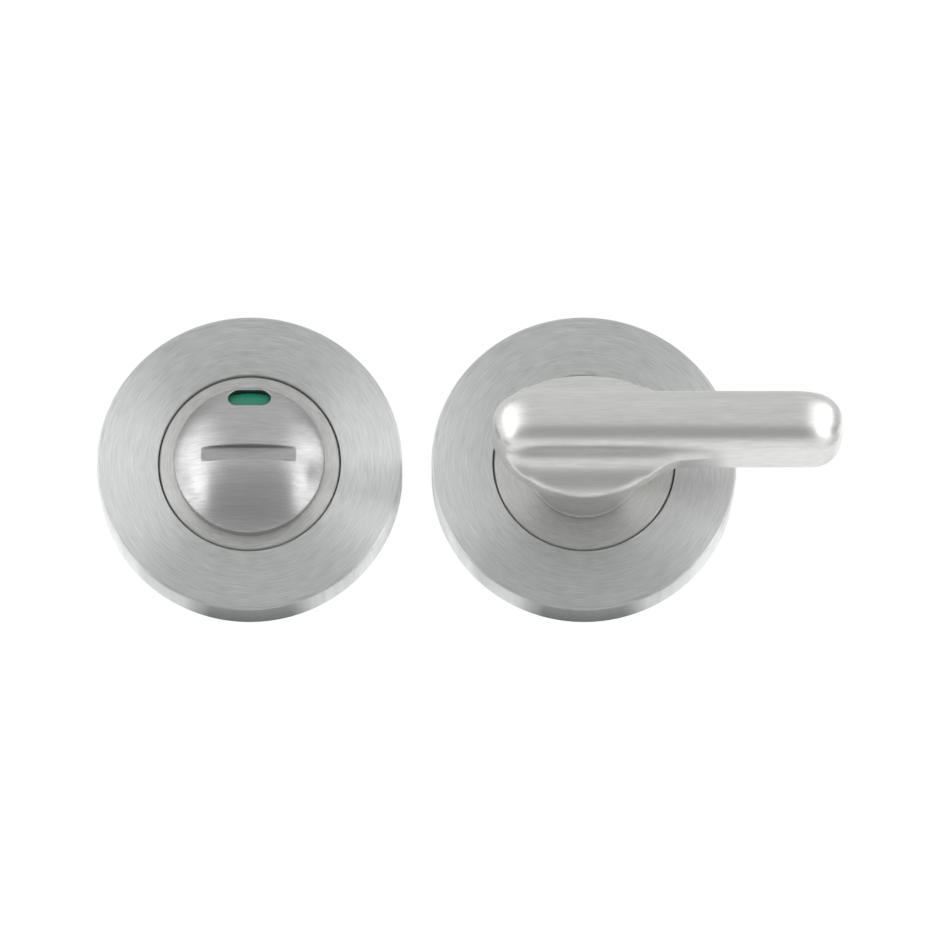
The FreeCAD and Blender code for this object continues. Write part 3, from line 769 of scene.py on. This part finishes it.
@dataclass
class Finishes:
    """Every finish of the lock, made once and shared."""

    rose: bpy.types.Material
    boss: bpy.types.Material
    lever: bpy.types.Material
    dome: bpy.types.Material
    zinc: bpy.types.Material
    spring: bpy.types.Material
    nylon: bpy.types.Material
    indicator: bpy.types.Material

    @classmethod
    def mixed(cls, release_axis: Vector) -> "Finishes":
        """Build all the materials.

        Args:
            release_axis: Axis of the release, about which the indicator's colours change.

        Returns:
            The set of finishes.
        """
        return cls(
            rose=SatinSteel(
                name="stainless_steel_turned_satin",
                bright="#FBFCFC",
                dull="#C5C7C7",
                grain=Grain.ROUND,
                roughness=0.44,
                anisotropy=0.97,
                line_mm=0.17,
                streak_mm=3.0,
                cloud_share=0.06,
            ).material(),
            boss=SatinSteel(
                name="stainless_steel_turned_satin_boss",
                bright="#F6F6F4",
                dull="#BDBDBB",
                grain=Grain.ROUND,
                roughness=0.42,
                anisotropy=0.95,
                line_mm=0.17,
                streak_mm=3.0,
                cloud_share=0.06,
            ).material(),
            lever=SatinSteel(
                name="stainless_steel_cast_satin_polished",
                bright="#F3F3F1",
                dull="#C6C6C4",
                grain=Grain.ACROSS,
                roughness=0.36,
                anisotropy=0.60,
                line_mm=0.25,
                streak_mm=3.5,
            ).material(),
            dome=SatinSteel(
                name="stainless_steel_brushed_straight",
                bright="#DCDCDC",
                dull="#9A9A9A",
                grain=Grain.ACROSS,
                roughness=0.34,
                anisotropy=0.70,
                line_mm=0.22,
                streak_mm=3.5,
            ).material(),
            zinc=PlainMetal(
                name="steel_zinc_plated_clear", bright="#CDD0D4", dull="#BEC1C6", roughness=0.34
            ).material(),
            spring=PlainMetal(
                name="spring_steel_oil_blackened", bright="#6A6A6C", dull="#545456", roughness=0.42
            ).material(),
            nylon=Nylon().material(),
            indicator=IndicatorPlastic(release_axis).material(),
        )


@dataclass
class Rose:
    """Rose of one half: the cover, the base plate and the rings inside. Sizes in millimetres."""

    half: str
    axis: Vector
    holes: tuple[HolePair, ...]
    face_width: float = 10.4
    wall: float = 1.5
    front_edge: float = 0.5
    hole_edge: float = 0.2
    burr: float = 0.1
    boss_gap: float = 0.25
    boss_recess: float = 0.3
    boss_edge: float = 0.4
    plate: float = 2.0
    plate_bore: float = 7.11
    cover_segments: int = 256
    plate_segments: int = 192
    hole_segments: int = 48

    @staticmethod
    def outside(half: str) -> float:
        """Outside radius of a half's cover in metres, from its solid."""
        low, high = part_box(f"{half}_rose_cover")
        return (high.x - low.x) / 2

    def build(self, finishes: Finishes) -> None:
        """Make the cover and the base plate and dress the rest.

        Args:
            finishes: Shared materials.
        """
        low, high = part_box(f"{self.half}_rose_cover")
        radius = self.outside(self.half) / MM
        height = (high.y - low.y) / MM
        self.build_cover(finishes, radius, height)
        self.build_plate(finishes, radius, height)
        for inner in ("grip_ring", "bush", "washer"):
            dress_solid(f"{self.half}_{inner}", finishes.nylon)
        for inner in ("disc_spring", "circlip"):
            dress_solid(f"{self.half}_{inner}", finishes.spring)

    def build_cover(self, finishes: Finishes, radius: float, height: float) -> None:
        """Make the pressed cover with its softened edges.

        Args:
            finishes: Shared materials.
            radius: Outside of the cover.
            height: Depth of the cover.
        """
        hole = radius - self.face_width
        bore = radius - self.wall
        section = rounded_section([
            Corner(bore, 0, self.burr),
            Corner(radius, 0, self.burr),
            Corner(radius, height, self.front_edge),
            Corner(hole, height, self.hole_edge),
            Corner(hole, height - self.wall, self.burr),
            Corner(bore, height - self.wall),
        ])
        name = f"{self.half}_cover"
        piece = add_piece(name, turned_mesh(name, section, self.cover_segments), self.axis)
        dress(piece, finishes.rose, "roses", "satin_rose", f"{self.half}_rose_cover")

    def build_plate(self, finishes: Finishes, radius: float, height: float) -> None:
        """Make the base plate with the boss that fills the cover's hole.

        Args:
            finishes: Shared materials.
            radius: Outside of the cover.
            height: Depth of the cover.
        """
        low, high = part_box(f"{self.half}_base_plate")
        rim = (high.x - low.x) / 2 / MM
        boss = radius - self.face_width - self.boss_gap
        top = height - self.boss_recess
        section = rounded_section([
            Corner(boss - self.plate, 0, self.burr),
            Corner(rim, 0, self.burr),
            Corner(rim, self.plate, self.burr),
            Corner(boss, self.plate),
            Corner(boss, top, self.boss_edge),
            Corner(self.plate_bore, top, self.burr),
            Corner(self.plate_bore, top - self.plate),
            Corner(boss - self.plate, top - self.plate),
        ])
        name = f"{self.half}_plate"
        piece = add_piece(name, turned_mesh(name, section, self.plate_segments), self.axis)
        for pair in self.holes:
            for side in (-pair.offset, pair.offset):
                drill_section = [
                    Corner(0, -self.plate),
                    Corner(pair.radius, -self.plate),
                    Corner(pair.radius, height),
                    Corner(0, height),
                ]
                drill = turned_mesh("drill", drill_section, self.hole_segments)
                cut_away(piece, add_piece("drill", drill, self.axis + Vector((side * MM, 0, 0))))
        dress(piece, finishes.boss, "roses", "satin_boss", f"{self.half}_base_plate")


@dataclass
class ThumbTurn:
    """Turning parts of the inside half. Sizes in millimetres.

    The crown is the rounded front of the finger bar. The hollow is the round run-out between the bar's
    side and the hub, which is fuller on the casting than on the solid.
    """

    grid: float = 0.25
    passes: int = 6
    polish_from: float = 10.0
    polish_passes: int = 16
    bar_half_width: float = 5.0
    crown_radius: float = 6.7
    crown_offset: float = 5.0
    crown_depth: float = 16.75
    hollow_radius: float = 6.5
    hollow_limit: float = 1.3
    hollow_middle: float = 3.0
    hollow_reach: float = 18.0
    # The hollow fades out over the last third of its reach
    hollow_fade: float = 3.0
    hollow_spread: float = 3.6
    hollow_passes: int = 60
    spindle_edge: float = 0.2

    def build(self, finishes: Finishes) -> None:
        """Make the cast lever and dress the spindle and its pin.

        Args:
            finishes: Shared materials.
        """
        lever = add_piece("lever", frame["nodes"]["thumb_turn"].data.copy(), Vector())
        soften(lever, self.grid, self.passes)
        front = {
            point.index: 1.0 for point in lever.data.vertices if point.co.y < -self.polish_from * MM
        }
        polish(lever, front, self.polish_passes)
        polish(lever, self.fill_hollows(lever), self.hollow_passes)
        dress(lever, finishes.lever, "turn", "satin_lever", "thumb_turn", crease=NEVER_SHARP)
        spindle = eased_copy("spindle", self.spindle_edge)
        dress(spindle, finishes.zinc, "turn", "plated_steel", "spindle")
        dress_solid("spindle_pin", finishes.spring)

    def fill_hollows(self, lever: bpy.types.Object) -> dict[int, float]:
        """Round out the hollows where the hub runs into the bar, as the casting has them.

        Args:
            lever: Cast lever with an even mesh.

        Returns:
            How near each point lies to a hollow, by its index, for the points that are near one.
        """
        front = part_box("thumb_turn")[0].y
        aside = self.bar_half_width + self.hollow_radius
        run = aside - self.crown_offset
        rise = math.sqrt((self.crown_radius + self.hollow_radius) ** 2 - run ** 2)
        depth = self.crown_depth - rise
        weights = {}
        for point in lever.data.vertices:
            across = aside - abs(point.co.z) / MM
            back = (point.co.y - front) / MM - depth
            excess = math.hypot(across, back) - self.hollow_radius
            along = abs(point.co.x / MM - self.hollow_middle) / self.hollow_reach
            share = max(0.0, min(1.0, self.hollow_fade * (1 - along)))
            inside = 0 < math.atan2(back, across) < math.atan2(rise, run)
            if inside and abs(excess) < self.hollow_limit:
                move = share * max(0.0, excess) / (excess + self.hollow_radius)
                point.co.z += math.copysign(across * move * MM, point.co.z)
                point.co.y -= back * move * MM
            if abs(excess) < self.hollow_spread and back > 0 and share > 0:
                weights[point.index] = share * (1 - abs(excess) / self.hollow_spread)
        return weights


@dataclass
class CoinRelease:
    """Turning parts of the outside half, with the indicator under them. Sizes in millimetres."""

    axis: Vector
    grid: float = 0.16
    passes: int = 3
    peg_offset: float = 9.4
    peg_hole: float = 0.84

    def peg_holes(self) -> HolePair:
        """Holes in the base plate for the indicator's pegs."""
        return HolePair(self.peg_offset, self.peg_hole)

    def build(self, finishes: Finishes) -> None:
        """Make the brushed dome and dress the stem and the indicator.

        Args:
            finishes: Shared materials.
        """
        form = frame["nodes"]["release_dome"].data.copy()
        for point in form.vertices:
            point.co = point.co - self.axis
        dome = add_piece("dome", form, self.axis)
        soften(dome, self.grid, self.passes)
        dress(dome, finishes.dome, "release", "satin_dome", "release_dome", crease=NEVER_SHARP)
        dress_solid("release_stem", finishes.zinc)
        dress_solid("indicator_cap", finishes.indicator)


@dataclass
class Fixings:
    """Bolts of the inside half and sleeves of the outside half, with an M4 thread. Sizes in millimetres."""

    turn_axis: Vector
    release_axis: Vector
    offset: float = 19.0
    plate: float = 2.0
    head_radius: float = 3.25
    bolt_radius: float = 2.0
    bolt_hole: float = 2.15
    bolt_neck: float = 1.8
    bolt_neck_end: float = -0.5
    bolt_tip: float = -40.0
    tip_chamfer: float = 0.6
    head_height: float = 2.4
    head_rounding: float = 1.0
    slot_width: float = 0.9
    slot_depth: float = 1.2
    sleeve_radius: float = 2.75
    sleeve_hole: float = 2.8
    sleeve_bore: float = 1.65
    sleeve_end: float = -14.0
    sleeve_head: float = 0.7
    edge: float = 0.15
    thread_depth: float = 0.32
    pitch: float = 0.7
    rows_per_turn: int = 8
    bolt_segments: int = 32
    sleeve_segments: int = 48

    def bolt_holes(self) -> HolePair:
        """Holes in the inside half's plate for the bolts."""
        return HolePair(self.offset, self.bolt_hole)

    def sleeve_holes(self) -> HolePair:
        """Holes in the outside half's plate for the sleeves."""
        return HolePair(self.offset, self.sleeve_hole)

    def build(self, finishes: Finishes) -> None:
        """Make the pair of bolts and the pair of sleeves.

        Args:
            finishes: Shared materials.
        """
        self.build_bolts(finishes)
        self.build_sleeves(finishes)

    def threaded(self, radius: float, low: float, high: float, depth: float) -> list[Corner]:
        """Rows of a thread from one height to another.

        Args:
            radius: Radius at the crest.
            low: First height.
            high: Last height.
            depth: Depth of the thread inwards, or outwards where negative.

        Returns:
            Corners in order.
        """
        rows = round(abs(high - low) / self.pitch * self.rows_per_turn)
        heights = [low + (high - low) * row / rows for row in range(rows + 1)]
        return [Corner(radius, height, thread=depth) for height in heights]

    def build_bolts(self, finishes: Finishes) -> None:
        """Make two slotted round-headed bolts.

        Args:
            finishes: Shared materials.
        """
        head_top = self.plate + self.head_height
        section = rounded_section([
            Corner(0, self.bolt_tip),
            Corner(self.bolt_radius - self.tip_chamfer, self.bolt_tip),
            *self.threaded(
                self.bolt_radius, self.bolt_tip + self.tip_chamfer, self.bolt_neck_end, self.thread_depth
            ),
            Corner(self.bolt_neck, self.bolt_neck_end),
            Corner(self.bolt_neck, self.plate),
            Corner(self.head_radius, self.plate, self.edge),
            Corner(self.head_radius, head_top, self.head_rounding),
            Corner(0, head_top),
        ])
        bolt = turned_mesh("bolt", section, self.bolt_segments, self.pitch)
        bolts = add_piece("bolts", paired_mesh("bolts", bolt, self.offset), self.turn_axis)
        cut_away(bolts, self.slot_blade(head_top))
        dress(bolts, finishes.zinc, "roses", "plated_steel", "fixing_bolts")

    def slot_blade(self, head_top: float) -> bpy.types.Object:
        """Make the long thin block that cuts the slots of both bolt heads.

        Args:
            head_top: Height of the heads' tops.

        Returns:
            The block, half sunk into the heads.
        """
        # Twice the bolts' centres, which is well past both heads
        length = 4 * self.offset
        form = bmesh.new()
        bmesh.ops.create_cube(form, size=1.0)
        bmesh.ops.scale(
            form, vec=Vector((length, 2 * self.slot_depth, self.slot_width)) * MM, verts=form.verts
        )
        bmesh.ops.translate(form, vec=(0, -head_top * MM, 0), verts=form.verts)
        mesh = bpy.data.meshes.new("blade")
        form.to_mesh(mesh)
        form.free()
        return add_piece("blade", mesh, self.turn_axis)

    def build_sleeves(self, finishes: Finishes) -> None:
        """Make two headed sleeves, tapped from end to end.

        Args:
            finishes: Shared materials.
        """
        head_top = self.plate + self.sleeve_head
        section = rounded_section([
            Corner(self.sleeve_radius, self.sleeve_end, self.edge),
            Corner(self.sleeve_radius, self.plate),
            Corner(self.head_radius, self.plate, self.edge),
            Corner(self.head_radius, head_top, self.edge),
            *self.threaded(self.sleeve_bore, head_top, self.sleeve_end, -self.thread_depth),
        ])
        sleeve = turned_mesh("sleeve", section, self.sleeve_segments, self.pitch)
        sleeves = add_piece("sleeves", paired_mesh("sleeves", sleeve, self.offset), self.release_axis)
        dress(sleeves, finishes.zinc, "roses", "plated_steel", "bolt_sleeves")


@dataclass(frozen=True)
class Panel:
    """Curved soft light or card round the lock: the span it fills as seen from there, and its brightness.

    Side is the angle to the right of the upright plane through the camera. Lift is the angle round the
    crosswise axis: 0 is level on the camera's side, 90 overhead, 180 behind and -90 underneath. Both are
    in degrees. The brightness runs evenly from the first level to the last. The distance is in metres.
    """

    name: str
    side: tuple[float, float]
    lift: tuple[float, float]
    level: tuple[float, float]
    fade: Fade = Fade.UPWARD
    distance: float = 0.55
    steps: int = 16

    def point(self, across: int, upward: int) -> tuple[float, float, float]:
        """Find a point of the panel's grid.

        Args:
            across: Steps from the left.
            upward: Steps from the first lift.

        Returns:
            The point, in metres from the middle of the room.
        """
        side = math.radians(self.side[0] + (self.side[1] - self.side[0]) * across / self.steps)
        lift = math.radians(self.lift[0] + (self.lift[1] - self.lift[0]) * upward / self.steps)
        return (
            self.distance * math.sin(side),
            -self.distance * math.cos(side) * math.cos(lift),
            self.distance * math.cos(side) * math.sin(lift),
        )

    def brightness(self, across: int, upward: int) -> float:
        """Find the brightness at a point of the panel's grid.

        Args:
            across: Steps from the left.
            upward: Steps from the first lift.

        Returns:
            The level there.
        """
        first, last = self.level
        step = across if self.fade is Fade.ACROSS else upward
        return first + (last - first) * step / self.steps

    def build(self, target: Vector) -> None:
        """Hang the panel.

        Args:
            target: Point that it goes round.
        """
        rows = range(self.steps + 1)
        row = self.steps + 1
        mesh = bpy.data.meshes.new(self.name)
        mesh.from_pydata(
            [self.point(across, upward) for upward in rows for across in rows],
            [],
            [
                (corner, corner + 1, corner + row + 1, corner + row)
                for corner in (upward * row + across for upward in rows[:-1] for across in rows[:-1])
            ],
        )
        levels = [self.brightness(across, upward) for upward in rows for across in rows]
        hang_card(self.name, mesh, levels, target)


def hang_card(
    name: str,
    mesh: bpy.types.Mesh,
    levels: Sequence[float],
    place: Vector,
) -> bpy.types.Object:
    """Put a glowing card on the stage, out of the camera's sight.

    Args:
        name: Name of the card.
        mesh: Its form.
        levels: Its brightness at each point of the mesh, one being the white of the room.
        place: Where its origin goes.

    Returns:
        The card.
    """
    mesh.attributes.new("level", "FLOAT", "POINT").data.foreach_set("value", levels)
    material = new_material(name)
    level = add_node(material.node_tree, "ShaderNodeAttribute", attribute_name="level")
    glow = add_node(material.node_tree, "ShaderNodeEmission", {"Strength": level.outputs["Fac"]})
    add_node(material.node_tree, "ShaderNodeOutputMaterial", {"Surface": glow.outputs[0]})
    mesh.materials.append(material)
    card = bpy.data.objects.new(name, mesh)
    card.location = place
    card.visible_camera = False
    bpy.context.scene.collection.objects.link(card)
    return card


@dataclass(frozen=True)
class FootShade:
    """Shaded card behind the foot of a rose, which darkens the lowest part of its rim.

    It is fully dark over the core and fades out over the spread, in degrees each side of straight down.
    The other sizes are in metres.
    """

    inner: float
    outer: float
    core: float = 16.0
    spread: float = 28.0
    dark: float = 0.01
    light: float = 1.0
    behind: float = 0.0006
    steps: int = 32

    def build(self, axis: Vector) -> None:
        """Hang the card.

        Args:
            axis: Point of the rose's axis on the door plane.
        """
        points = []
        levels = []
        for radius in (self.inner, self.outer):
            for step in range(self.steps + 1):
                degrees = self.spread * (2 * step / self.steps - 1)
                angle = math.radians(degrees)
                points.append((radius * math.sin(angle), self.behind, -radius * math.cos(angle)))
                fade = max(0.0, abs(degrees) - self.core) / (self.spread - self.core)
                levels.append(self.dark + (self.light - self.dark) * fade)
        row = self.steps + 1
        mesh = bpy.data.meshes.new("foot_shade")
        mesh.from_pydata(
            points, [], [(step, step + 1, step + row + 1, step + row) for step in range(self.steps)]
        )
        card = hang_card("foot_shade", mesh, levels, axis)
        card.visible_diffuse = False


@dataclass
class Studio:
    """White studio with a soft light at each side and a grey room behind the camera.

    Sizes are in metres, the elevation in degrees and the sensor in millimetres.
    """

    elevation: float = -16.1
    distance: float = 1.2
    frame_width: float = 0.16096
    centre_x: float = -0.019
    centre_drop: float = 0.00169
    face_height: float = 0.008
    floor_level: float = -0.58
    floor_size: float = 6.0
    floor_colour: str = "#F4F4F3"
    world_colour: str = "#FFFFFF"
    sensor_width: float = 36.0
    # A foot's shade reaches out to this many times the radius of a rose
    shade_reach: float = 2.0
    panels: list[Panel] = field(default_factory=lambda: [
        Panel("left_soft_light", (-62, -28), (-6, 42), (2.1, 0.75), Fade.ACROSS),
        Panel("left_low_light", (-62, -50), (-72, -6), (2.4, 2.4)),
        Panel("left_light_end", (-75, -62), (-86, 86), (2.0, 2.0)),
        Panel("left_wall", (-90, -75), (-180, 180), (1.1, 1.1)),
        Panel("left_upper_room", (-62, -30), (42, 86), (1.9, 0.75), Fade.ACROSS),
        Panel("left_flag", (-75, -30), (86, 97), (0.03, 0.03)),
        Panel("right_soft_light", (28, 62), (-6, 42), (0.75, 2.4), Fade.ACROSS),
        Panel("right_low_light", (46, 62), (-72, -6), (2.3, 2.3)),
        Panel("right_light_end", (62, 75), (-86, 86), (2.3, 2.3)),
        Panel("right_wall", (75, 90), (-180, 180), (0.3, 0.3)),
        Panel("right_upper_room", (30, 62), (42, 86), (0.75, 2.1), Fade.ACROSS),
        Panel("right_flag", (30, 75), (86, 97), (0.03, 0.03)),
        Panel("grey_room", (-28, 28), (-6, 42), (0.75, 0.75)),
        Panel("grey_upper_room", (-30, 30), (42, 97), (0.75, 0.75)),
        Panel("dark_edge_above", (-50, 46), (-13, -6), (0.39, 0.72)),
        Panel("dark_camera_side", (-50, 46), (-72, -13), (0.39, 0.39)),
        Panel("dark_edge_below", (-50, 46), (-82, -72), (0.95, 0.39)),
        Panel("white_sheet", (-75, 75), (-122, -82), (1.0, 0.95)),
        Panel("ceiling", (-75, 75), (97, 150), (0.78, 0.78)),
        Panel("backdrop_light", (-32, 32), (150, 238), (1.08, 1.08)),
        Panel("left_back_wall", (-75, -32), (150, 180), (1.0, 1.0)),
        Panel("right_back_wall", (32, 75), (150, 180), (1.4, 1.4)),
        Panel("left_low_back_wall", (-75, -32), (180, 238), (0.75, 0.75)),
        Panel("right_low_back_wall", (32, 75), (180, 238), (0.75, 0.75)),
    ])

    def build(self, axes: Sequence[Vector], foot_radius: float) -> None:
        """Set the floor, the lights, the world and the camera.

        Args:
            axes: Points of the roses' axes on the door plane.
            foot_radius: Outside radius of a rose.
        """
        self.build_floor()
        target = Vector((self.centre_x, -self.face_height, 0))
        for panel in self.panels:
            panel.build(target)
        for axis in axes:
            FootShade(foot_radius, self.shade_reach * foot_radius).build(axis)
        self.build_world()
        bpy.context.scene.view_settings.view_transform = "Standard"
        self.build_camera(target)

    def build_world(self) -> None:
        """Make the plain white room, which the camera sees as its background."""
        world = bpy.data.worlds.new("white_room")
        world.use_nodes = True
        tree = world.node_tree
        tree.nodes.clear()
        light = add_node(
            tree, "ShaderNodeBackground", {"Color": linear(self.world_colour), "Strength": 1.0}
        )
        add_node(tree, "ShaderNodeOutputWorld", {"Surface": light.outputs[0]})
        bpy.context.scene.world = world

    def build_floor(self) -> None:
        """Lay the plain pale floor."""
        half = self.floor_size / 2
        mesh = bpy.data.meshes.new("floor")
        corners = [(-half, -half), (half, -half), (half, half), (-half, half)]
        mesh.from_pydata([(x, y, self.floor_level) for x, y in corners], [], [(0, 1, 2, 3)])
        material = new_material("floor_painted_white")
        paint = add_node(
            material.node_tree, "ShaderNodeBsdfDiffuse", {"Color": linear(self.floor_colour)}
        )
        add_node(material.node_tree, "ShaderNodeOutputMaterial", {"Surface": paint.outputs[0]})
        mesh.materials.append(material)
        floor = bpy.data.objects.new("floor", mesh)
        bpy.context.scene.collection.objects.link(floor)

    def build_camera(self, target: Vector) -> None:
        """Put the camera a little below the lock, square to its faces.

        Args:
            target: Point between the roses on their faces.
        """
        lift = math.radians(self.elevation)
        out = Vector((0, -math.cos(lift), math.sin(lift)))
        up = Vector((0, math.sin(lift), math.cos(lift)))
        lens = bpy.data.cameras.new("camera")
        lens.sensor_width = self.sensor_width
        lens.lens = self.sensor_width * self.distance / self.frame_width
        camera = bpy.data.objects.new("camera", lens)
        camera.location = target - up * self.centre_drop + out * self.distance
        camera.rotation_mode = "QUATERNION"
        camera.rotation_quaternion = out.to_track_quat("Z", "Y")
        bpy.context.scene.collection.objects.link(camera)
        bpy.context.scene.camera = camera


def joint_axis(name: str) -> Vector:
    """Point on a joint's axis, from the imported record."""
    return Vector(next(joint["pos_m"] for joint in frame["joints"] if joint["name"] == name))


def main() -> None:
    """Build the lock piece by piece and set it in the studio."""
    logging.basicConfig(level=logging.INFO, format="%(message)s")
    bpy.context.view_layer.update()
    turn_axis = joint_axis("turn_hinge")
    release_axis = joint_axis("release_hinge")
    finishes = Finishes.mixed(release_axis)
    release = CoinRelease(release_axis)
    fixings = Fixings(turn_axis, release_axis)
    Rose("turn", turn_axis, (fixings.bolt_holes(),)).build(finishes)
    Rose("release", release_axis, (fixings.sleeve_holes(), release.peg_holes())).build(finishes)
    ThumbTurn().build(finishes)
    release.build(finishes)
    fixings.build(finishes)
    Studio().build((turn_axis, release_axis), Rose.outside("turn"))


if __name__ == "__main__":
    main()
